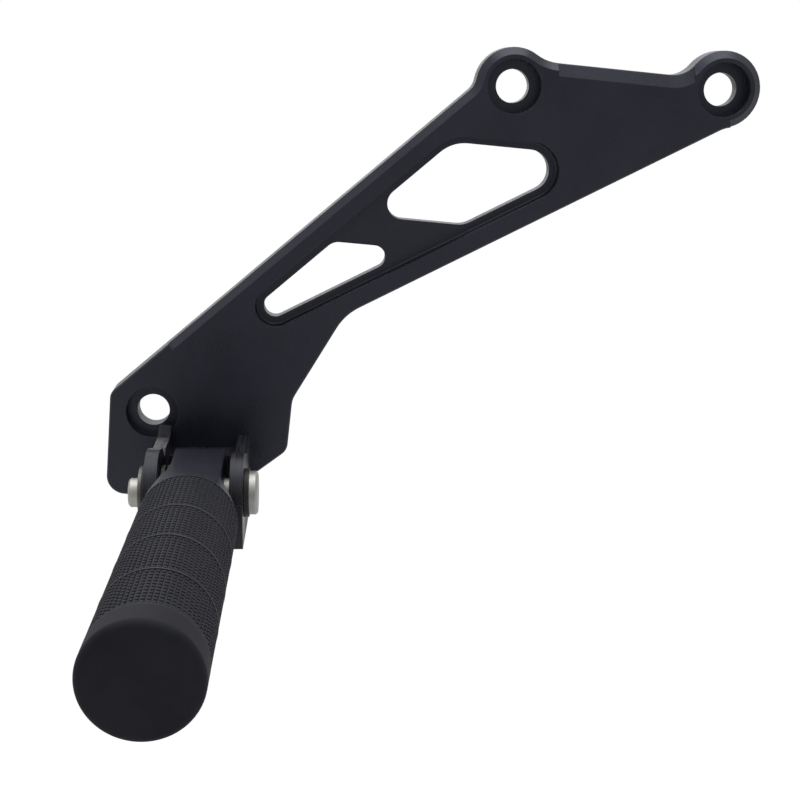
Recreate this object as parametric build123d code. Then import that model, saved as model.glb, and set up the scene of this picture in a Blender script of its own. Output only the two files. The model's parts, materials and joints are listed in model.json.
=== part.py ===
from build123d import *
import math
import os

# Folding foot peg on a machined hanger plate. Millimetres.
# Frame: the origin is on the axis of the foot bolt hole, in the plate's back face.
# +X runs along the hinge pin towards the lug end, +Y points into the vehicle, +Z is up.
# The plate's back face is Y = 0 and the peg points along -Y.

# ---- plate: bolt holes ----
LUG_REACH = 115.3            # foot hole to the first lug hole, along X
LUG_RISE = 105.8             # foot hole to the lug holes, along Z
LUG_SPAN = 66.7              # first lug hole to the second
LUG_R = 12.0
BOLT_HOLE_D = 10.5           # clearance for M10
COUNTERBORE_D = 17.0
LUG_WALL = 4.7               # metal left under the lug counterbores
FOOT_WALL = 6.2              # metal left under the foot counterbore
COUNTERBORE_EDGE = 0.4

# ---- plate: body and outline ----
PLATE_T = 10.0
DIAGONAL_AT_FOOT = 13.6      # foot hole to the long diagonal edge
DIAGONAL_AT_LUG = 7.9        # first lug hole to the long diagonal edge
TOP_AT_FIRST_LUG = 8.4       # lug holes to the short top edge
TOP_AT_SECOND_LUG = 2.9
LOWER_AT_LUG = 11.1          # second lug hole to the lower edge
WAIST = (62.8, 32.8)         # where the lower edge turns down into the foot
FOOT_LEAN = 4.3              # degrees that the foot's sides lean from upright
FOOT_LEFT = 13.9             # foot hole to the foot's left side
FOOT_DEPTH = 28.8            # foot hole to the foot's lower side
FOOT_KNEE = (45.7, 4.4)      # corners down the foot's right side
FOOT_CORNER = (43.9, -13.0)
FOOT_TOE = (34.0, -20.4)     # a point on the sloping lower right side
WAIST_R = 18.0
KNEE_R = 8.0
CORNER_R = 5.0
TOE_R = 3.0
HEEL_R = 6.0
SHOULDER_R = 4.0
LUG_BLEND_R = (6.0, 14.0, 9.0, 9.0)   # diagonal, top edge twice, lower edge
EDGE_BREAK = 0.5             # small bevel all round the front face
BEVEL_W = 2.3                # bevel on the lugs and the long diagonal
BEVEL_START = 0.15           # share of the diagonal left without the wide bevel
TOP_BEVEL_W = 4.0            # wider bevel on the short top edge
TOP_BEVEL_DEPTH = 2.2
TOP_BEVEL_FROM = 1.15        # its ends from the two lug holes, in lug radii
TOP_BEVEL_TO = 0.8

# ---- plate: windows and the pocket around them ----
UPPER_RIM = 9.25             # diagonal edge to the windows
LOWER_RIM = 8.5              # lower edge to the windows
WINDOW_DROP = 27.5           # top edge to the large window
LARGE_WINDOW_H = 26.0
WINDOW_WEB = 9.2             # bar between the two windows
LARGE_WINDOW_R = (12.0, 6.6, 8.0, 5.0)
SMALL_WINDOW_R = (5.0, 3.7, 3.75)
POCKET_LEDGE = 2.7
POCKET_DEPTH = 4.75
POCKET_FLOOR_R = 0.8

# ---- hinge ----
HINGE_RIGHT = 17.0           # foot hole to the hinge, along X
HINGE_DROP = 17.2            # foot hole down to the hinge
HINGE_REACH = 31.5           # plate's front face out to the pin's axis
PIN_D = 9.0
RUN = 0.05                   # radial running clearance on the pin
FACE_GAP = 0.05              # axial clearance between stacked faces
EAR_T = 4.0
EAR_GAP = 21.6               # between the clevis's ears
LEFT_EYE_R = 13.6
RIGHT_EYE_R = 12.3
EAR_FRONT = 12.7             # pin's axis to the ears' front faces
EAR_BOTTOM = 14.0            # pin's axis to the ears' lower faces
WAIST_DROP = 3.4             # how far the ear dips behind its eye
LEFT_ROOT_RISE = 12.9        # height of each ear's root above the pin's axis
RIGHT_ROOT_RISE = 9.6
ROOT_R = 6.0
BASE_T = 10.0
BASE_TOP = 5.4               # pin's axis to the base block's upper face
STOP_PLAY = 0.3              # clearance at the end of the upward fold

# ---- clevis screws, countersunk M6 ----
SCREW_D = 6.0
SCREW_HOLE_D = 6.6
SCREW_HEAD_D = 11.2
SCREW_SPACING = 13.0
SCREW_RISE = -1.5            # screws above the pin's axis
SCREW_GRIP = 7.5             # length of screw inside the clevis
SCREW_KEY = 4.0              # across the flats
THREAD_PLAY = 0.03

# ---- pin, washers and clip ----
HEAD_D = 13.5
HEAD_T = 2.6
HEAD_WASHER_D = 15.0
HEAD_WASHER_T = 1.4
CLIP_WASHER_D = 17.6
CLIP_WASHER_T = 1.2
CLIP_T = 1.0
CLIP_D = 16.3
CLIP_RELIEF_D = 11.4
CLIP_GROOVE_D = 8.0
CLIP_MOUTH = 7.4
CLIP_TURN = -110.0           # degrees, which way the clip's mouth points
PIN_TAIL = 3.4               # pin beyond the clip
PIN_CHAMFER = 0.6
WASHER_PLAY = 0.15           # radial, washers on the pin
THRUST_WASHER_D = 17.0
THRUST_WASHER_T = 1.15
DISC_SPRING_D = 17.0
DISC_SPRING_T = 0.6
DISC_SPRING_H = 1.15

# ---- peg core ----
TONGUE_OFFSET = 0.95         # tongue's middle from the clevis's middle
TONGUE_W = 15.4
TONGUE_TOP = 11.7            # pin's axis to the flat top
TONGUE_BOTTOM = 13.0
TONGUE_TOP_BACK = 8.0        # pin's axis to the back of the flat top
HEEL = 10.0                  # pin's axis to the back face that meets the stop
LEFT_FLARE_START = 9.0       # pin's axis to where the sides start to widen
RIGHT_FLARE_START = 17.0
BUSH_WALL = 1.0
BUSH_L = 7.0
SHOULDER_PLAY = 0.2          # shoulder's radius under the sleeve's

# ---- sleeve and end ----
PEG_R = 14.5
SLEEVE_WALL = 3.5
SLEEVE_START = 27.8          # pin's axis to the sleeve's rear end
SLEEVE_L = 93.8
RING_COUNT = 3
RING_FIRST = 26.0            # sleeve's rear end to the first ring groove
RING_PITCH = 23.1
RING_W = 0.8
RING_DEPTH = 0.5
CAP_L = 10.2
CAP_EDGE_R = 2.0
CAP_DOME = 0.6
CAP_WALL = 1.5
END_WASHER_T = 1.5
END_SCREW_D = 6.0
END_SCREW_L = 18.0
END_HEAD_D = 10.5
END_HEAD_H = 3.3
END_KEY = 4.0
END_PLAY = 0.1

FOOT_HOLE = (0.0, 0.0)
FIRST_LUG = (LUG_REACH, LUG_RISE)
SECOND_LUG = (LUG_REACH + LUG_SPAN, LUG_RISE)
PIN_R = PIN_D / 2
EAR_INNER = EAR_GAP / 2
EAR_OUTER = EAR_INNER + EAR_T
TONGUE_LEFT = TONGUE_OFFSET - TONGUE_W / 2
TONGUE_RIGHT = TONGUE_OFFSET + TONGUE_W / 2
STOP_TOP = -HEEL - STOP_PLAY
SLEEVE_END = SLEEVE_START + SLEEVE_L
BUSH_R = PIN_R + RUN + BUSH_WALL

HINGE = Pos(HINGE_RIGHT, -PLATE_T - HINGE_REACH, -HINGE_DROP)


# ---- plane geometry: points are (X, Z) pairs, a line is a point and a direction ----
def tangent_line(a, gap_a, b, gap_b):
    """Line from a to b, moved out to its left by gap_a at a and gap_b at b."""
    length = math.dist(a, b)
    lean = math.asin((gap_b - gap_a) / length)
    angle = math.atan2(b[1] - a[1], b[0] - a[0]) + lean
    way = (math.cos(angle), math.sin(angle))
    return (a[0] - way[1] * gap_a, a[1] + way[0] * gap_a), way


def offset_line(line, left):
    """The line moved to its left."""
    (x, z), (dx, dz) = line
    return (x - dz * left, z + dx * left), (dx, dz)


def meet(one, two):
    """Point where two lines cross."""
    (ax, az), (adx, adz) = one
    (bx, bz), (bdx, bdz) = two
    along = ((bx - ax) * bdz - (bz - az) * bdx) / (adx * bdz - adz * bdx)
    return ax + adx * along, az + adz * along


def rounded(points, radii):
    """Closed outline through the points with each corner rounded."""
    return make_face(FilletPolyline(*points, radius=list(radii), close=True))


DIAGONAL = tangent_line(FOOT_HOLE, DIAGONAL_AT_FOOT, FIRST_LUG, DIAGONAL_AT_LUG)
TOP = tangent_line(FIRST_LUG, TOP_AT_FIRST_LUG, SECOND_LUG, TOP_AT_SECOND_LUG)
LOWER = tangent_line(WAIST, 0.0, SECOND_LUG, -LOWER_AT_LUG)
LEAN = math.radians(FOOT_LEAN)
LEFT_SIDE = offset_line(((0, 0), (math.sin(LEAN), math.cos(LEAN))), FOOT_LEFT)
FOOT_SIDE = offset_line(((0, 0), (math.cos(LEAN), -math.sin(LEAN))), -FOOT_DEPTH)
TOE_SIDE = (FOOT_CORNER, (FOOT_CORNER[0] - FOOT_TOE[0], FOOT_CORNER[1] - FOOT_TOE[1]))


def near(face, centre, line):
    """The face's vertex where the lug's circle about centre crosses the line."""
    def miss(v):
        (x, z), (dx, dz) = line
        off_line = abs((v.X - x) * dz - (v.Y - z) * dx)
        return abs(math.dist((v.X, v.Y), centre) - LUG_R) + off_line
    return min(face.vertices(), key=miss)


# ---- plate ----
def plate_outline():
    """Front view of the plate: foot, arm and two round lugs."""
    across_lower = (SECOND_LUG, (LOWER[1][1], -LOWER[1][0]))
    across_top = (SECOND_LUG, (TOP[1][1], -TOP[1][0]))
    body = rounded(
        [
            meet(LEFT_SIDE, DIAGONAL),
            meet(DIAGONAL, TOP),
            meet(TOP, across_top),
            SECOND_LUG,
            meet(LOWER, across_lower),
            WAIST,
            FOOT_KNEE,
            FOOT_CORNER,
            meet(TOE_SIDE, FOOT_SIDE),
            meet(FOOT_SIDE, LEFT_SIDE),
        ],
        [SHOULDER_R, 0, 0, 0, 0, WAIST_R, KNEE_R, CORNER_R, TOE_R, HEEL_R],
    )
    face = body + Pos(*FIRST_LUG) * Circle(LUG_R) + Pos(*SECOND_LUG) * Circle(LUG_R)
    blends = [(FIRST_LUG, DIAGONAL), (FIRST_LUG, TOP), (SECOND_LUG, TOP), (SECOND_LUG, LOWER)]
    for (centre, line), radius in zip(blends, LUG_BLEND_R):
        face = fillet(near(face, centre, line), radius)
    return face


def window_outlines():
    """The large four-sided window and the small three-sided one below it."""
    upper = offset_line(DIAGONAL, -UPPER_RIM)
    lower = offset_line(LOWER, LOWER_RIM)
    head = offset_line(TOP, -WINDOW_DROP)
    sill = offset_line(head, -LARGE_WINDOW_H)
    small_head = offset_line(sill, -WINDOW_WEB)
    large = [meet(upper, head), meet(head, lower), meet(lower, sill), meet(sill, upper)]
    small = [meet(upper, small_head), meet(small_head, lower), meet(lower, upper)]
    return rounded(large, LARGE_WINDOW_R), rounded(small, SMALL_WINDOW_R)


def pocket_outline():
    """One shallow pocket that frames both windows."""
    upper = offset_line(DIAGONAL, -UPPER_RIM + POCKET_LEDGE)
    lower = offset_line(LOWER, LOWER_RIM - POCKET_LEDGE)
    head = offset_line(TOP, -WINDOW_DROP + POCKET_LEDGE)
    corners = [meet(upper, head), meet(head, lower), meet(lower, upper)]
    radii = [LARGE_WINDOW_R[0], LARGE_WINDOW_R[1], SMALL_WINDOW_R[2]]
    return rounded(corners, [r + POCKET_LEDGE for r in radii])


def sketch_plane(y):
    """Upright plane at Y = y that faces the rider, for (X, Z) outlines."""
    return Plane((0, y, 0), x_dir=(1, 0, 0), z_dir=(0, -1, 0))


def prism(face, back, front):
    """Solid of an (X, Z) outline between Y = back and Y = front, front the lower."""
    return extrude(sketch_plane(back) * face, back - front)


def bevel(outline, width, depth):
    """What a bevel all round the outline's front edge takes away."""
    base = sketch_plane(depth - PLATE_T) * outline
    angle = math.degrees(math.atan(width / depth))
    return extrude(base, depth) - extrude(base, depth, taper=angle)


def wide_bevel_region():
    """Region of the wide bevel: part way up the diagonal, over both lugs."""
    (dx, dz) = DIAGONAL[1]
    (x0, z0), (x1, z1) = meet(LEFT_SIDE, DIAGONAL), meet(DIAGONAL, TOP)
    start = (x0 + (x1 - x0) * BEVEL_START, z0 + (z1 - z0) * BEVEL_START)
    inside = UPPER_RIM - POCKET_LEDGE
    return make_face(
        Polyline(
            (start[0] - dz * LUG_R, start[1] + dx * LUG_R),
            (start[0] + dz * inside, start[1] - dx * inside),
            FIRST_LUG,
            SECOND_LUG,
            (SECOND_LUG[0] + LUG_R / 2, SECOND_LUG[1] - 2 * LUG_R),
            (SECOND_LUG[0] + 2 * LUG_R, SECOND_LUG[1]),
            (SECOND_LUG[0] + 2 * LUG_R, SECOND_LUG[1] + 2 * LUG_R),
            (FIRST_LUG[0] - LUG_R, FIRST_LUG[1] + 2 * LUG_R),
            close=True,
        )
    )


def top_region(margin_left, margin_right, drop):
    """Upright strip between the lugs that reaches drop below their centres."""
    left, right = FIRST_LUG[0] + margin_left, SECOND_LUG[0] - margin_right
    width, height = right - left, 4 * LUG_R
    return Pos(left + width / 2, LUG_RISE + height / 2 - drop) * Rectangle(width, height)


def bolt_cut(centre, wall):
    """Bolt hole with its counterbore from the front."""
    spot = Pos(*centre)
    cut = prism(spot * Circle(BOLT_HOLE_D / 2), PLATE_T, -2 * PLATE_T)
    cut += prism(spot * Circle(COUNTERBORE_D / 2), -wall, -2 * PLATE_T)
    inner, outer = COUNTERBORE_D / 2 - COUNTERBORE_EDGE, COUNTERBORE_D / 2 + COUNTERBORE_EDGE
    rim = Rot(X=90) * Cone(inner, outer, outer - inner)
    return cut + Pos(centre[0], -PLATE_T, centre[1]) * rim


def screw_spots():
    """Axes of the clevis screws as (X, Z) points."""
    z = SCREW_RISE - HINGE_DROP
    return [(HINGE_RIGHT + side * SCREW_SPACING / 2, z) for side in (-1, 1)]


def hanger_plate():
    """Machined plate with its bevels, pocket, windows and bolt holes."""
    outline = plate_outline()
    crown = outline & top_region(0, -2 * LUG_R, 2 * LUG_R)
    plate = prism(outline, 0, -PLATE_T)
    plate -= bevel(outline, EDGE_BREAK, EDGE_BREAK)
    plate -= bevel(outline, BEVEL_W, BEVEL_W) & prism(wide_bevel_region(), 0, -PLATE_T)
    strip = top_region(LUG_R * TOP_BEVEL_FROM, LUG_R * TOP_BEVEL_TO, LUG_R / 2)
    plate -= bevel(crown, TOP_BEVEL_W, TOP_BEVEL_DEPTH) & prism(strip, 0, -PLATE_T)
    pocket = prism(pocket_outline(), POCKET_DEPTH - PLATE_T, -PLATE_T)
    plate -= fillet(pocket.faces().sort_by(Axis.Y)[-1].edges(), POCKET_FLOOR_R)
    for window in window_outlines():
        plate -= prism(window, PLATE_T, -2 * PLATE_T)
    for centre, wall in ((FOOT_HOLE, FOOT_WALL), (FIRST_LUG, LUG_WALL), (SECOND_LUG, LUG_WALL)):
        plate -= bolt_cut(centre, wall)
    head_h = (SCREW_HEAD_D - SCREW_HOLE_D) / 2
    for x, z in screw_spots():
        plate -= prism(Pos(x, z) * Circle(SCREW_HOLE_D / 2), PLATE_T, -2 * PLATE_T)
        plate -= Pos(x, -head_h / 2, z) * Rot(X=-90) * Cone(SCREW_HOLE_D / 2, SCREW_HEAD_D / 2, head_h)
    return plate


# ---- hinge pieces, in the hinge's own frame: pin along X through the origin ----
def rod(radius, x0, x1, inner=0.0):
    """Cylinder or tube along X from x0 to x1."""
    shape = Circle(radius) - Circle(inner) if inner else Circle(radius)
    return extrude(Plane((min(x0, x1), 0, 0), x_dir=(0, 1, 0), z_dir=(1, 0, 0)) * shape, abs(x1 - x0))


def barrel(radius, y0, y1, inner=0.0):
    """Cylinder or tube along Y between y0 and y1."""
    shape = Circle(radius) - Circle(inner) if inner else Circle(radius)
    return prism(shape, max(y0, y1), min(y0, y1))


def side_profile(face, x0, x1):
    """Solid of a (Y, Z) outline from x0 to x1."""
    return extrude(Plane((x0, 0, 0), x_dir=(0, 1, 0), z_dir=(1, 0, 0)) * face, x1 - x0)


def ear(eye_r, root_rise, x0):
    """One ear: a round eye, a dip behind it and a root that flares up to the plate."""
    dip = eye_r - WAIST_DROP
    body = rounded(
        [
            (-EAR_FRONT, -EAR_BOTTOM),
            (-EAR_FRONT, 0),
            (0, 0),
            (eye_r, dip),
            (HINGE_REACH - ROOT_R, dip),
            (HINGE_REACH, root_rise),
            (HINGE_REACH, -EAR_BOTTOM),
        ],
        [EDGE_BREAK, 0, 0, 0, ROOT_R, 0, 0],
    )
    eye = Circle(eye_r) & Pos(eye_r - EAR_FRONT, 0) * Rectangle(2 * eye_r, 2 * eye_r)
    return side_profile(body + eye, x0, x0 + EAR_T)


def clevis():
    """Two ears on a base block, with a stop block low between them."""
    part = ear(LEFT_EYE_R, LEFT_ROOT_RISE, -EAR_OUTER)
    part += ear(RIGHT_EYE_R, RIGHT_ROOT_RISE, EAR_INNER)
    base_front = HINGE_REACH - BASE_T
    base = Pos((base_front + HINGE_REACH) / 2, (BASE_TOP - EAR_BOTTOM) / 2)
    part += side_profile(base * Rectangle(BASE_T, BASE_TOP + EAR_BOTTOM), -EAR_INNER, EAR_INNER)
    stop_l = base_front - HEEL
    stop_h = STOP_TOP + EAR_BOTTOM
    stop = Pos(HEEL + stop_l / 2, STOP_TOP - stop_h / 2)
    part += side_profile(stop * Rectangle(stop_l, stop_h), -EAR_INNER, EAR_INNER)
    part -= rod(PIN_R + RUN, -2 * EAR_OUTER, 2 * EAR_OUTER)
    for side in (-1, 1):
        screw = Pos(side * SCREW_SPACING / 2, HINGE_REACH, SCREW_RISE)
        part -= screw * barrel(SCREW_D / 2 + THREAD_PLAY, 1, -SCREW_GRIP - 1)
    return HINGE * part


def clevis_screws():
    """Two countersunk socket screws, heads flush in the plate's back face."""
    head_h = (SCREW_HEAD_D - SCREW_HOLE_D) / 2
    cone_h = (SCREW_HEAD_D - SCREW_D) / 2 - 2 * THREAD_PLAY
    screws = []
    for x, z in screw_spots():
        screw = barrel(SCREW_D / 2, 0, -PLATE_T - SCREW_GRIP)
        cone = Rot(X=-90) * Cone(SCREW_D / 2, SCREW_D / 2 + cone_h, cone_h)
        screw += Pos(0, -cone_h / 2, 0) * cone
        key = RegularPolygon(SCREW_KEY / math.sqrt(3), 6)
        screw -= prism(key, PLATE_T, -head_h)
        screws.append(Pos(x, 0, z) * screw)
    return Compound(children=screws)


def stack_left():
    """Outer X of each piece on the pin's left end: washer, clip, pin end."""
    washer = -EAR_OUTER - FACE_GAP - CLIP_WASHER_T
    clip = washer - FACE_GAP - CLIP_T
    return washer, clip, clip - PIN_TAIL


def pivot_pin():
    """Headed pin with a groove for the clip near its plain end."""
    under_head = EAR_OUTER + HEAD_WASHER_T + 2 * FACE_GAP
    washer, clip, end = stack_left()
    pin = rod(PIN_R, end, under_head)
    pin = chamfer(pin.faces().sort_by(Axis.X)[0].edges(), PIN_CHAMFER)
    head = rod(HEAD_D / 2, under_head, under_head + HEAD_T)
    pin += chamfer(head.faces().sort_by(Axis.X)[-1].edges(), PIN_CHAMFER)
    pin -= rod(2 * PIN_R, clip - FACE_GAP, washer - FACE_GAP / 2, CLIP_GROOVE_D / 2)
    return HINGE * pin


def pin_clip():
    """Open retaining clip with three inner lobes that sit in the pin's groove."""
    clip = stack_left()[1]
    ring = Circle(CLIP_D / 2) - Circle(CLIP_RELIEF_D / 2)
    for turn in (180, 60, -60):
        lobe = Pos(CLIP_D / 4, 0) * Rectangle(CLIP_D / 2, PIN_R)
        ring += Rot(Z=turn) * lobe & Circle(CLIP_D / 2)
    ring -= Circle(CLIP_GROOVE_D / 2 + THREAD_PLAY)
    ring -= Pos(CLIP_D / 2, 0) * Rectangle(CLIP_D, CLIP_MOUTH)
    spot = Plane((clip, 0, 0), x_dir=(0, 1, 0), z_dir=(1, 0, 0))
    return HINGE * extrude(spot * Rot(Z=CLIP_TURN) * ring, CLIP_T)


def clip_washer():
    x = -EAR_OUTER - FACE_GAP
    return HINGE * rod(CLIP_WASHER_D / 2, x - CLIP_WASHER_T, x, PIN_R + WASHER_PLAY)


def head_washer():
    x = EAR_OUTER + FACE_GAP
    return HINGE * rod(HEAD_WASHER_D / 2, x, x + HEAD_WASHER_T, PIN_R + WASHER_PLAY)


def thrust_stack():
    """Left X of the tongue-side washer, the disc spring and the ear-side washer."""
    tongue_side = TONGUE_LEFT - FACE_GAP - THRUST_WASHER_T
    spring = tongue_side - FACE_GAP - DISC_SPRING_H
    return tongue_side, spring, spring - FACE_GAP - THRUST_WASHER_T


def thrust_washer(x):
    return HINGE * rod(THRUST_WASHER_D / 2, x, x + THRUST_WASHER_T, PIN_R + WASHER_PLAY)


def disc_spring():
    """Slightly coned spring washer that gives the fold its drag."""
    inner, outer = PIN_R + WASHER_PLAY, DISC_SPRING_D / 2
    rise = DISC_SPRING_H - DISC_SPRING_T
    section = Polyline(
        (0, inner),
        (DISC_SPRING_T, inner),
        (DISC_SPRING_T + rise, outer),
        (rise, outer),
        close=True,
    )
    ring = revolve(make_face(section), Axis.X)
    return HINGE * Pos(thrust_stack()[1], 0, 0) * ring


# ---- peg ----
def tongue_plan():
    """Plan view of the core's rear: a narrow tongue that flares out to the shoulder."""
    shoulder = PEG_R - SHOULDER_PLAY
    outline = Polyline((-shoulder, -SLEEVE_START), (shoulder, -SLEEVE_START))
    right = TangentArc((TONGUE_RIGHT, -RIGHT_FLARE_START), (shoulder, -SLEEVE_START), tangent=(0, -1))
    left = TangentArc((TONGUE_LEFT, -LEFT_FLARE_START), (-shoulder, -SLEEVE_START), tangent=(0, -1))
    back = Polyline(
        (TONGUE_RIGHT, -RIGHT_FLARE_START),
        (TONGUE_RIGHT, HEEL),
        (TONGUE_LEFT, HEEL),
        (TONGUE_LEFT, -LEFT_FLARE_START),
    )
    return make_face([outline, right, back, left])


def peg_core():
    """Tongue, flared shoulder and the long spigot under the sleeve."""
    shoulder = PEG_R - SHOULDER_PLAY
    body = barrel(shoulder, -SLEEVE_START, HEEL)
    body &= Pos(0, 0, -PEG_R) * extrude(tongue_plan(), 2 * PEG_R)
    side = make_face(
        Polyline(
            (-SLEEVE_START, TONGUE_TOP),
            (TONGUE_TOP_BACK, TONGUE_TOP),
            (HEEL, TONGUE_TOP - 2 * (HEEL - TONGUE_TOP_BACK)),
            (HEEL, -TONGUE_BOTTOM),
            (-SLEEVE_START, -TONGUE_BOTTOM),
            close=True,
        )
    )
    body &= side_profile(side, -PEG_R, PEG_R)
    spigot = PEG_R - SLEEVE_WALL
    body += barrel(spigot - END_PLAY, -SLEEVE_START, FACE_GAP - SLEEVE_END)
    body -= rod(BUSH_R, -PEG_R, PEG_R)
    body -= barrel(END_SCREW_D / 2 + THREAD_PLAY, -SLEEVE_END, END_SCREW_L - SLEEVE_END)
    return HINGE * body


def peg_bush(x0, x1):
    return HINGE * rod(BUSH_R - THREAD_PLAY, x0, x1, PIN_R + RUN)


def rubber_sleeve():
    """Tube with shallow ring grooves, pushed over the spigot."""
    sleeve = barrel(PEG_R, -SLEEVE_START, -SLEEVE_END, PEG_R - SLEEVE_WALL)
    for i in range(RING_COUNT):
        y = -SLEEVE_START - RING_FIRST - i * RING_PITCH
        sleeve -= barrel(2 * PEG_R, y - RING_W / 2, y + RING_W / 2, PEG_R - RING_DEPTH)
    return HINGE * sleeve


def retaining_washer():
    radius = PEG_R - CAP_WALL - END_PLAY
    face = -SLEEVE_END - FACE_GAP
    return HINGE * barrel(radius, face, face - END_WASHER_T, END_SCREW_D / 2 + WASHER_PLAY)


def retaining_screw():
    """Button-head socket screw in the end of the spigot."""
    seat = -SLEEVE_END - 2 * FACE_GAP - END_WASHER_T
    screw = barrel(END_SCREW_D / 2, seat, seat + END_SCREW_L)
    head = barrel(END_HEAD_D / 2, seat, seat - END_HEAD_H)
    screw += fillet(head.faces().sort_by(Axis.Y)[0].edges(), END_HEAD_H / 2)
    key = RegularPolygon(END_KEY / math.sqrt(3), 6)
    screw -= prism(key, seat - END_HEAD_H / 3, seat - 2 * END_HEAD_H)
    return HINGE * screw


def end_cap():
    """Smooth cap that snaps over the retaining washer."""
    back = -SLEEVE_END - FACE_GAP
    cap = barrel(PEG_R, back, back - CAP_L)
    dome_r = (PEG_R**2 + CAP_DOME**2) / (2 * CAP_DOME)
    cap &= Pos(0, back - CAP_L + dome_r, 0) * Sphere(dome_r)
    cap = fillet(cap.edges().sort_by(Axis.Y)[0], CAP_EDGE_R)
    cap -= barrel(PEG_R - CAP_WALL, back, back - END_WASHER_T - 2 * FACE_GAP)
    room = END_WASHER_T + END_HEAD_H + 3 * END_PLAY
    cap -= barrel(END_HEAD_D / 2 + CAP_WALL, back, back - room)
    return HINGE * cap


def build():
    tongue_side, _, ear_side = thrust_stack()
    bush_in = TONGUE_W / 2 - BUSH_L
    return {
        "hanger_plate": hanger_plate(),
        "clevis": clevis(),
        "clevis_screws": clevis_screws(),
        "pivot_pin": pivot_pin(),
        "pin_clip": pin_clip(),
        "clip_washer": clip_washer(),
        "head_washer": head_washer(),
        "thrust_washer_tongue": thrust_washer(tongue_side),
        "disc_spring": disc_spring(),
        "thrust_washer_ear": thrust_washer(ear_side),
        "peg_core": peg_core(),
        "peg_bush_left": peg_bush(TONGUE_LEFT, TONGUE_LEFT + BUSH_L),
        "peg_bush_right": peg_bush(TONGUE_RIGHT - BUSH_L, TONGUE_RIGHT),
        "rubber_sleeve": rubber_sleeve(),
        "retaining_washer": retaining_washer(),
        "retaining_screw": retaining_screw(),
        "end_cap": end_cap(),
    }


if __name__ == "__main__":
    os.makedirs("parts", exist_ok=True)
    for name, shape in build().items():
        export_step(shape, f"parts/{name}.step")
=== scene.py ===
import json
import math

import bpy
from mathutils import Matrix, Vector


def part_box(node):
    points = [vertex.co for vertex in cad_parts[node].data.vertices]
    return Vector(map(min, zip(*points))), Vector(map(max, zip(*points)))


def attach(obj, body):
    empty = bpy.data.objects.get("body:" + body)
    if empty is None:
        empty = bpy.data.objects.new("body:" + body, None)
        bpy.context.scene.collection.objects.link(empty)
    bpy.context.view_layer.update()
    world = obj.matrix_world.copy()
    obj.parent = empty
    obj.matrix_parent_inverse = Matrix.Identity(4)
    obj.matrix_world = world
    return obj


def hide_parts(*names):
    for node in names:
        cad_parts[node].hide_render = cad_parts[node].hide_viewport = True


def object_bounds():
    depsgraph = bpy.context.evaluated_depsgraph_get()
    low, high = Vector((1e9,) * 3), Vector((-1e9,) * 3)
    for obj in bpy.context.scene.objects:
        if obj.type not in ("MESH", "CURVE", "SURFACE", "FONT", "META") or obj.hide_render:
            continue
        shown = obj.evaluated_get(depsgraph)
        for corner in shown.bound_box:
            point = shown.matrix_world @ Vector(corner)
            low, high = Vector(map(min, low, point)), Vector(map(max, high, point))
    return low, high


# Looks for the folding foot peg on its hanger plate. Metres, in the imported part's frame:
# +X along the hinge pin, +Y through the plate away from the peg, +Z up.

MM = 0.001

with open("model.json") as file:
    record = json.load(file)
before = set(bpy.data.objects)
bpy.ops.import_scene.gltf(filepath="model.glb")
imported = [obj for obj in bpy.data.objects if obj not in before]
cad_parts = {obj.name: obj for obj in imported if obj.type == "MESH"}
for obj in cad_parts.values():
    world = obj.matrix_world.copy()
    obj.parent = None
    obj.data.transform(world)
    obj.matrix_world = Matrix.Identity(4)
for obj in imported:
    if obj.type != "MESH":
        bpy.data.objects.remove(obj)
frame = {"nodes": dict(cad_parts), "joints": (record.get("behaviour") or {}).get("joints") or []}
cad_lo, cad_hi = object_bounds()
nodes = frame["nodes"]

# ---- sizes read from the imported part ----
sleeve_lo, sleeve_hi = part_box("rubber_sleeve")
HINGE = next(Vector(j["pos_m"]) for j in frame["joints"] if j["name"] == "peg_fold")
PEG_AXIS = Vector(((sleeve_lo.x + sleeve_hi.x) / 2, 0.0, (sleeve_lo.z + sleeve_hi.z) / 2))
PEG_R = (sleeve_hi.x - sleeve_lo.x) / 2

# ---- grip pattern ----
SLEEVE_WALL = 3.5 * MM
SLEEVE_BORE_R = PEG_R - SLEEVE_WALL
PAD_COLUMNS = 64
PAD_PITCH = 1.87 * MM        # along the peg
PAD_GAP = 0.72 * MM
PAD_SIDE_GAP = 0.38          # share of a column
PAD_SLOPE = 0.16 * MM
PAD_SIDE_SLOPE = 0.12        # share of a column
PAD_DEPTH = 0.45 * MM
PAD_CROWN = 0.06 * MM
PAD_SHOULDER = 0.9           # height of a pad's side edges as a share of its middle
RING_SPOTS = (26.0 * MM, 49.1 * MM, 72.2 * MM)   # from the sleeve's rear end
RING_GAP = 0.3 * MM
RING_RIDGE = 0.55 * MM
RIDGE_RISE = 0.12 * MM
END_BAND = 0.7 * MM


# ---- node material helpers ----
NOISE_LOW = 0.3              # a noise texture stays mostly between these two
NOISE_HIGH = 0.7
EDGE_COSINE = 0.93           # softened against true normal where an edge counts as worn right through
EDGE_SAMPLES = 6
RUB_SCALE = 900.0
RUB_LOW = 0.4
RUB_HIGH = 0.65
RUB_LEAST = 0.25


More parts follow.
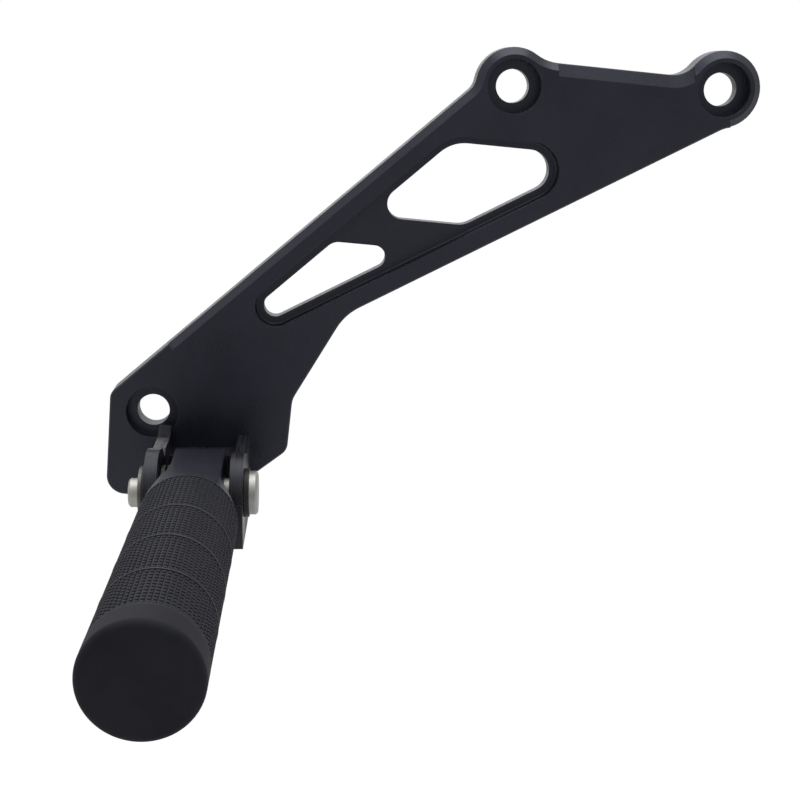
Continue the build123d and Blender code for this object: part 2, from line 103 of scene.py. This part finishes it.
class Graph:
    """Node tree of one material with short calls for the nodes used here."""

    def __init__(self, tree):
        self.tree = tree
        self.tree.nodes.clear()

    def node(self, kind, **settings):
        made = self.tree.nodes.new(kind)
        for key, value in settings.items():
            setattr(made, key, value)
        return made

    def link(self, source, target):
        self.tree.links.new(source, target)

    def feed(self, socket, value):
        """A number or colour goes on the socket, anything else is linked to it."""
        if hasattr(value, "is_output"):
            self.link(value, socket)
        else:
            socket.default_value = value

    def noise(self, scale, stretch=(1, 1, 1), detail=3.0, rough=0.55):
        place = self.node("ShaderNodeTexCoord")
        mapping = self.node("ShaderNodeMapping")
        mapping.inputs["Scale"].default_value = stretch
        self.link(place.outputs["Object"], mapping.inputs["Vector"])
        noise = self.node("ShaderNodeTexNoise")
        noise.inputs["Scale"].default_value = scale
        noise.inputs["Detail"].default_value = detail
        noise.inputs["Roughness"].default_value = rough
        self.link(mapping.outputs["Vector"], noise.inputs["Vector"])
        return noise.outputs["Fac"]

    def ranged(self, value, low, high, to_low, to_high):
        made = self.node("ShaderNodeMapRange")
        self.feed(made.inputs["Value"], value)
        made.inputs["From Min"].default_value = low
        made.inputs["From Max"].default_value = high
        made.inputs["To Min"].default_value = to_low
        made.inputs["To Max"].default_value = to_high
        return made.outputs["Result"]

    def spread(self, noise, to_low, to_high):
        """A noise texture's value spread over the range given."""
        return self.ranged(noise, NOISE_LOW, NOISE_HIGH, to_low, to_high)

    def math(self, operation, a, b):
        made = self.node("ShaderNodeMath", operation=operation)
        self.feed(made.inputs[0], a)
        self.feed(made.inputs[1], b)
        return made.outputs[0]

    def mix(self, share, a, b):
        made = self.node("ShaderNodeMix", data_type="RGBA")
        self.feed(made.inputs[0], share)
        self.feed(made.inputs[6], a)
        self.feed(made.inputs[7], b)
        return made.outputs[2]

    def edge(self, radius):
        """(softened normal, mask of the edges) within radius of an edge."""
        soft = self.node("ShaderNodeBevel", samples=EDGE_SAMPLES)
        soft.inputs["Radius"].default_value = radius
        flat = self.node("ShaderNodeNewGeometry")
        dot = self.node("ShaderNodeVectorMath", operation="DOT_PRODUCT")
        self.link(soft.outputs["Normal"], dot.inputs[0])
        self.link(flat.outputs["Normal"], dot.inputs[1])
        mask = self.ranged(dot.outputs["Value"], 1.0, EDGE_COSINE, 0.0, 1.0)
        return soft.outputs["Normal"], mask


def surface(
    name,
    dark,
    light,
    rough,
    metallic=0.0,
    specular=0.5,
    blotch=55.0,
    grain=4000.0,
    stretch=(1, 1, 1),
    grain_rough=0.08,
    grain_tone=0.25,
    grain_depth=0.006,
    edge_radius=0.25,
    worn=None,
    wear=0.0,
    tint=(1.0, 1.0, 1.0),
):
    """Procedural finish: broad tone changes, a directional grain, softened and worn edges.

    edge_radius and grain_depth are in mm, the noise scales in cells per metre.
    """
    material = bpy.data.materials.new(name)
    material.use_nodes = True
    g = Graph(material.node_tree)
    shader = g.node("ShaderNodeBsdfPrincipled")
    out = g.node("ShaderNodeOutputMaterial")
    g.link(shader.outputs["BSDF"], out.inputs["Surface"])
    shader.inputs["Metallic"].default_value = metallic
    shader.inputs["Specular IOR Level"].default_value = specular
    shader.inputs["Specular Tint"].default_value = (*tint, 1.0)
    broad = g.noise(blotch, detail=4.0)
    fine = g.noise(grain, stretch=stretch, detail=2.0)
    tone = g.spread(broad, 0.0, 1.0 - grain_tone)
    tone = g.math("ADD", tone, g.spread(fine, 0.0, grain_tone))
    colour = g.mix(tone, (*dark, 1.0), (*light, 1.0))
    normal, mask = g.edge(edge_radius * MM)
    if worn:
        rub = g.ranged(g.noise(RUB_SCALE, detail=5.0), RUB_LOW, RUB_HIGH, RUB_LEAST, 1.0)
        share = g.math("MULTIPLY", g.math("MULTIPLY", mask, rub), wear)
        colour = g.mix(share, colour, (*worn, 1.0))
    g.link(colour, shader.inputs["Base Color"])
    uneven = g.math("ADD", g.spread(fine, -grain_rough, grain_rough), rough)
    uneven = g.math("ADD", uneven, g.spread(broad, -grain_rough / 2, grain_rough / 2))
    g.link(uneven, shader.inputs["Roughness"])
    bump = g.node("ShaderNodeBump")
    bump.inputs["Strength"].default_value = 1.0
    bump.inputs["Distance"].default_value = grain_depth * MM
    g.link(fine, bump.inputs["Height"])
    g.link(normal, bump.inputs["Normal"])
    g.link(bump.outputs["Normal"], shader.inputs["Normal"])
    return material


# ---- finishes ----
COOL = (0.83, 0.87, 1.0)       # tint of the shine on dark surfaces
ANODISED = dict(
    dark=(0.006, 0.007, 0.013),
    light=(0.015, 0.016, 0.026),
    rough=0.36,
    specular=0.55,
    tint=COOL,
)
WORN_ALUMINIUM = (0.16, 0.16, 0.17)

plate_finish = surface(
    "anodised_plate",
    **ANODISED,
    grain=1900.0,
    grain_tone=0.35,
    grain_depth=0.008,
    grain_rough=0.1,
    edge_radius=0.22,
    worn=WORN_ALUMINIUM,
    wear=0.1,
)
clevis_finish = surface(
    "anodised_clevis",
    dark=(0.0005, 0.0005, 0.002),
    light=(0.036, 0.035, 0.041),
    rough=0.38,
    specular=0.42,
    tint=COOL,
    grain=300.0,
    stretch=(8.0, 0.25, 0.25),
    grain_tone=0.85,
    grain_rough=0.12,
    grain_depth=0.16,
    edge_radius=0.2,
    worn=WORN_ALUMINIUM,
    wear=0.1,
)
core_finish = surface(
    "anodised_core",
    **ANODISED,
    grain=500.0,
    stretch=(1.0, 7.0, 1.0),
    grain_depth=0.006,
    grain_rough=0.05,
    edge_radius=0.2,
    worn=WORN_ALUMINIUM,
    wear=0.08,
)
steel_finish = surface(
    "turned_stainless",
    dark=(0.40, 0.395, 0.375),
    light=(0.58, 0.57, 0.545),
    rough=0.5,
    metallic=1.0,
    grain=350.0,
    stretch=(9.0, 1.0, 1.0),
    grain_tone=0.3,
    grain_rough=0.05,
    grain_depth=0.0015,
    edge_radius=0.2,
)
# Clip steel: the body colour is darkened to stand in for the dark plate it reflects (painted dark
# reflection); the edge mask gives the edges the plain stainless colour.
clip_dark_reflection_finish = surface(
    "clip_steel_painted_dark_reflection",
    dark=(0.10, 0.098, 0.088),
    light=(0.17, 0.165, 0.15),
    rough=0.38,
    metallic=1.0,
    grain=1200.0,
    grain_tone=0.4,
    edge_radius=0.2,
    worn=(0.62, 0.61, 0.58),
    wear=0.9,
)
washer_finish = surface(
    "zinc_washer",
    dark=(0.42, 0.42, 0.43),
    light=(0.60, 0.60, 0.62),
    rough=0.34,
    metallic=1.0,
    grain=1500.0,
    grain_tone=0.4,
    edge_radius=0.15,
)
bronze_finish = surface(
    "sintered_bronze",
    dark=(0.34, 0.22, 0.11),
    light=(0.52, 0.35, 0.18),
    rough=0.42,
    metallic=1.0,
    grain=5000.0,
    grain_tone=0.5,
    edge_radius=0.12,
)
oxide_finish = surface(
    "black_oxide",
    dark=(0.018, 0.018, 0.018),
    light=(0.034, 0.033, 0.032),
    rough=0.36,
    metallic=0.4,
    grain=3500.0,
    edge_radius=0.15,
    worn=(0.25, 0.24, 0.22),
    wear=0.3,
)
plastic_finish = surface(
    "black_nylon",
    dark=(0.012, 0.012, 0.012),
    light=(0.020, 0.020, 0.020),
    rough=0.5,
    grain=2500.0,
    edge_radius=0.15,
)
grip_finish = surface(
    "grip_rubber",
    dark=(0.013, 0.013, 0.018),
    light=(0.028, 0.028, 0.036),
    rough=0.6,
    specular=0.22,
    tint=COOL,
    blotch=120.0,
    grain=5200.0,
    grain_tone=0.4,
    grain_rough=0.07,
    grain_depth=0.012,
    edge_radius=0.08,
    worn=(0.075, 0.075, 0.08),
    wear=0.5,
)
cap_finish = surface(
    "cap_rubber",
    dark=(0.015, 0.015, 0.019),
    light=(0.023, 0.023, 0.028),
    rough=0.62,
    specular=0.12,
    tint=COOL,
    blotch=90.0,
    grain=7000.0,
    grain_rough=0.05,
    grain_depth=0.004,
    edge_radius=0.3,
)
# Ridge rubber: a lighter tone that stands partly for the highlights on the ridges' crests (painted
# highlight) and partly for rubbed rubber.
ridge_wear_and_sheen_finish = surface(
    "ridge_rubber_wear_and_sheen",
    dark=(0.022, 0.022, 0.025),
    light=(0.085, 0.085, 0.092),
    rough=0.45,
    specular=0.3,
    blotch=70.0,
    grain=4200.0,
    grain_tone=0.3,
    edge_radius=0.08,
)

FINISHES = {
    "hanger_plate": plate_finish,
    "clevis": clevis_finish,
    "clevis_screws": oxide_finish,
    "pivot_pin": steel_finish,
    "pin_clip": clip_dark_reflection_finish,
    "clip_washer": plastic_finish,
    # The head washer is black; it fills the dark band beside the pin head, which is partly the head's
    # shadow and reflection on the ear (painted shade).
    "head_washer": plastic_finish,
    "thrust_washer_tongue": plastic_finish,
    "disc_spring": oxide_finish,
    "thrust_washer_ear": plastic_finish,
    "peg_core": core_finish,
    "peg_bush_left": bronze_finish,
    "peg_bush_right": bronze_finish,
    "retaining_washer": washer_finish,
    "retaining_screw": oxide_finish,
    "end_cap": cap_finish,
}
for name, finish in FINISHES.items():
    for spot in nodes[name].material_slots:
        spot.material = finish


# ---- rubber sleeve with moulded pads ----
def column_samples():
    """(angle share, height share) round the sleeve, one set for each column of pads."""
    steps = [
        (0.0, 0.0),
        (PAD_SIDE_GAP - PAD_SIDE_SLOPE, 0.0),
        (PAD_SIDE_GAP, PAD_SHOULDER),
        ((1 + PAD_SIDE_GAP - PAD_SIDE_SLOPE) / 2, 1.0),
        (1.0 - PAD_SIDE_SLOPE, PAD_SHOULDER),
    ]
    return [((i + at) / PAD_COLUMNS, high) for i in range(PAD_COLUMNS) for at, high in steps]


def row_samples(start, end):
    """(distance, kind, crown share) for whole rows of pads that fill start to end."""
    count = max(1, round((end - start) / PAD_PITCH))
    pitch = (end - start) / count
    found = []
    for i in range(count):
        at = start + i * pitch
        found += [
            (at, "low", 0.0),
            (at + PAD_GAP - PAD_SLOPE, "low", 0.0),
            (at + PAD_GAP, "pad", 0.0),
            (at + (pitch + PAD_GAP - PAD_SLOPE) / 2, "pad", 1.0),
            (at + pitch - PAD_SLOPE, "pad", 0.0),
        ]
    return found


def sleeve_rows(length):
    """Samples along the whole sleeve: plain end bands, rows of pads and three ridges."""
    found = [(0.0, "band", 0.0), (END_BAND - PAD_SLOPE, "band", 0.0)]
    start = END_BAND
    for spot in RING_SPOTS:
        found += row_samples(start, spot - RING_GAP)
        found += [
            (spot - RING_GAP, "low", 0.0),
            (spot - PAD_SLOPE, "low", 0.0),
            (spot, "ridge", 0.0),
            (spot + RING_RIDGE / 2, "ridge", 1.0),
            (spot + RING_RIDGE, "ridge", 0.0),
        ]
        start = spot + RING_RIDGE + PAD_SLOPE
    found += row_samples(start, length - END_BAND - PAD_SLOPE)
    found += [(length - END_BAND - PAD_SLOPE, "low", 0.0)]
    found += [(length - END_BAND, "band", 0.0), (length, "band", 0.0)]
    return found


def grip_sleeve():
    """Closed tube whose outside carries the pads."""
    columns = column_samples()
    rows = sleeve_rows(sleeve_hi.y - sleeve_lo.y)
    floor_r = PEG_R - PAD_DEPTH

    def radius(kind, crown, high):
        if kind == "low":
            return floor_r
        if kind == "band":
            return PEG_R - PAD_CROWN
        if kind == "ridge":
            return PEG_R - PAD_CROWN + RIDGE_RISE * crown
        top = PEG_R - PAD_CROWN * (1 - crown)
        return floor_r + (top - floor_r) * high

    rings = [(at, [radius(kind, crown, high) for _, high in columns]) for at, kind, crown in rows]
    bore = [SLEEVE_BORE_R] * len(columns)
    rings = [(0.0, bore)] + rings + [(rings[-1][0], bore)]
    verts = []
    for at, radii in rings:
        for (share, _), r in zip(columns, radii):
            angle = 2 * math.pi * share
            x = PEG_AXIS.x + r * math.sin(angle)
            z = PEG_AXIS.z + r * math.cos(angle)
            verts.append((x, sleeve_hi.y - at, z))
    around = len(columns)
    faces = []
    for i in range(len(rings)):
        k = (i + 1) % len(rings)
        for j in range(around):
            m = (j + 1) % around
            faces.append((i * around + j, i * around + m, k * around + m, k * around + j))
    mesh = bpy.data.meshes.new("grip_sleeve")
    mesh.from_pydata(verts, [], faces)
    mesh.validate()
    mesh.update()
    mesh.materials.append(grip_finish)
    mesh.materials.append(ridge_wear_and_sheen_finish)
    kinds = ["bore"] + [kind for _, kind, _ in rows] + ["bore"]
    # Ridge faces get the lighter rubber, which carries a painted highlight as well as rubbed wear.
    for i, polygon in enumerate(mesh.polygons):
        row = i // around
        if kinds[row] == "ridge" and kinds[row + 1] == "ridge":
            polygon.material_index = 1
    made = bpy.data.objects.new("grip_sleeve", mesh)
    bpy.context.scene.collection.objects.link(made)
    return made


sleeve = grip_sleeve()
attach(sleeve, "peg")
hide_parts("rubber_sleeve")


# ---- stage, light and camera ----
FLOOR_GAP = 0.12
FLOOR_R = 4.0
FLOOR_SIDES = 96
FLOOR_DARK = (0.62, 0.62, 0.62, 1.0)
FLOOR_LIGHT = (0.65, 0.65, 0.65, 1.0)
FLOOR_GLOW = 0.97            # share of plain white in what the camera sees of the floor
FLOOR_WHITE = 1.03


def floor_material():
    material = bpy.data.materials.new("pale_floor")
    material.use_nodes = True
    g = Graph(material.node_tree)
    shader = g.node("ShaderNodeBsdfPrincipled")
    out = g.node("ShaderNodeOutputMaterial")
    tone = g.spread(g.noise(3.0), 0.0, 1.0)
    g.link(g.mix(tone, FLOOR_DARK, FLOOR_LIGHT), shader.inputs["Base Color"])
    shader.inputs["Roughness"].default_value = 0.9
    shader.inputs["Specular IOR Level"].default_value = 0.1
    plain = g.node("ShaderNodeEmission")
    plain.inputs["Strength"].default_value = FLOOR_WHITE
    seen = g.node("ShaderNodeLightPath")
    both = g.node("ShaderNodeMixShader")
    g.link(g.math("MULTIPLY", seen.outputs["Is Camera Ray"], FLOOR_GLOW), both.inputs[0])
    g.link(shader.outputs["BSDF"], both.inputs[1])
    g.link(plain.outputs[0], both.inputs[2])
    g.link(both.outputs[0], out.inputs["Surface"])
    return material


def add_floor():
    z = cad_lo.z - FLOOR_GAP
    ring = [2 * math.pi * i / FLOOR_SIDES for i in range(FLOOR_SIDES)]
    verts = [(FLOOR_R * math.cos(a), FLOOR_R * math.sin(a), z) for a in ring]
    mesh = bpy.data.meshes.new("floor")
    mesh.from_pydata(verts, [], [tuple(range(FLOOR_SIDES))])
    mesh.materials.append(floor_material())
    floor = bpy.data.objects.new("floor", mesh)
    bpy.context.scene.collection.objects.link(floor)


def add_light(name, spot, target, size, power):
    data = bpy.data.lights.new(name, "AREA")
    data.shape = "RECTANGLE"
    data.size, data.size_y = size
    data.energy = power
    lamp = bpy.data.objects.new(name, data)
    bpy.context.scene.collection.objects.link(lamp)
    lamp.location = spot
    lamp.rotation_mode = "QUATERNION"
    lamp.rotation_quaternion = (target - spot).to_track_quat("-Z", "Y")


WORLD_FRONT = 0.45
WORLD_BACK = 1.25
WORLD_DEPTH = (-0.2, 0.7)    # where the change from front to back starts and ends
WORLD_TOP = 0.65
WORLD_RISE = (0.35, 0.9)     # where the extra light from above starts and is full
WORLD_SIDE = 0.45            # share of the light that is left at either side
WORLD_WIDTH = 0.8            # where that share is reached


def add_world():
    """Pale surroundings that are brighter behind and above the object than in front."""
    world = bpy.data.worlds.new("studio")
    bpy.context.scene.world = world
    world.use_nodes = True
    g = Graph(world.node_tree)
    place = g.node("ShaderNodeTexCoord")
    parts = g.node("ShaderNodeSeparateXYZ")
    g.link(place.outputs["Generated"], parts.inputs[0])
    depth = g.ranged(parts.outputs["Y"], *WORLD_DEPTH, WORLD_FRONT, WORLD_BACK)
    above = g.ranged(parts.outputs["Z"], *WORLD_RISE, 0.0, WORLD_TOP)
    aside = g.math("ABSOLUTE", parts.outputs["X"], 0.0)
    side = g.ranged(aside, 0.0, WORLD_WIDTH, 1.0, WORLD_SIDE)
    strength = g.math("MULTIPLY", g.math("ADD", depth, above), side)
    seen = g.node("ShaderNodeLightPath")
    light = g.node("ShaderNodeBackground")
    g.link(strength, light.inputs["Strength"])
    plain = g.node("ShaderNodeBackground")
    plain.inputs["Strength"].default_value = 1.0
    for background in (light, plain):
        background.inputs["Color"].default_value = (1.0, 1.0, 1.0, 1.0)
    both = g.node("ShaderNodeMixShader")
    g.link(seen.outputs["Is Camera Ray"], both.inputs[0])
    g.link(light.outputs[0], both.inputs[1])
    g.link(plain.outputs[0], both.inputs[2])
    out = g.node("ShaderNodeOutputWorld")
    g.link(both.outputs[0], out.inputs["Surface"])


# The camera stands in front of the plate and looks down the peg from above.
CAMERA_SPOT = HINGE + Vector((39.667, -399.300, 130.898)) * MM
CAMERA_RIGHT = Vector((0.9984834, -0.0523371, 0.0170800))
CAMERA_UP = Vector((-0.0036906, 0.2459127, 0.9692850))
CAMERA_BACK = Vector((-0.0549298, -0.9678780, 0.2453466))
CAMERA_LENS = 60.75          # mm
CAMERA_SENSOR = 36.0         # mm
CAMERA_NEAR = 0.01


def add_camera():
    data = bpy.data.cameras.new("camera")
    data.lens = CAMERA_LENS
    data.sensor_width = CAMERA_SENSOR
    data.clip_start = CAMERA_NEAR
    camera = bpy.data.objects.new("camera", data)
    bpy.context.scene.collection.objects.link(camera)
    turn = Matrix((CAMERA_RIGHT, CAMERA_UP, CAMERA_BACK)).transposed()
    camera.matrix_world = Matrix.Translation(CAMERA_SPOT) @ turn.to_4x4()
    bpy.context.scene.camera = camera


# Name, place from the part's middle, size, power in watts.
SOFTBOXES = (
    ("top_softbox", (0.0, 0.05, 0.9), (0.9, 0.7), 2.9),
    ("left_softbox", (-0.9, 0.1, 0.35), (0.5, 0.9), 0.8),
    ("right_softbox", (0.9, 0.0, 0.3), (0.5, 0.9), 0.4),
)

middle = (cad_lo + cad_hi) / 2
add_floor()
add_world()
for name, offset, size, power in SOFTBOXES:
    add_light(name, middle + Vector(offset), middle, size, power)
add_camera()
bpy.context.scene.view_settings.view_transform = "Standard"
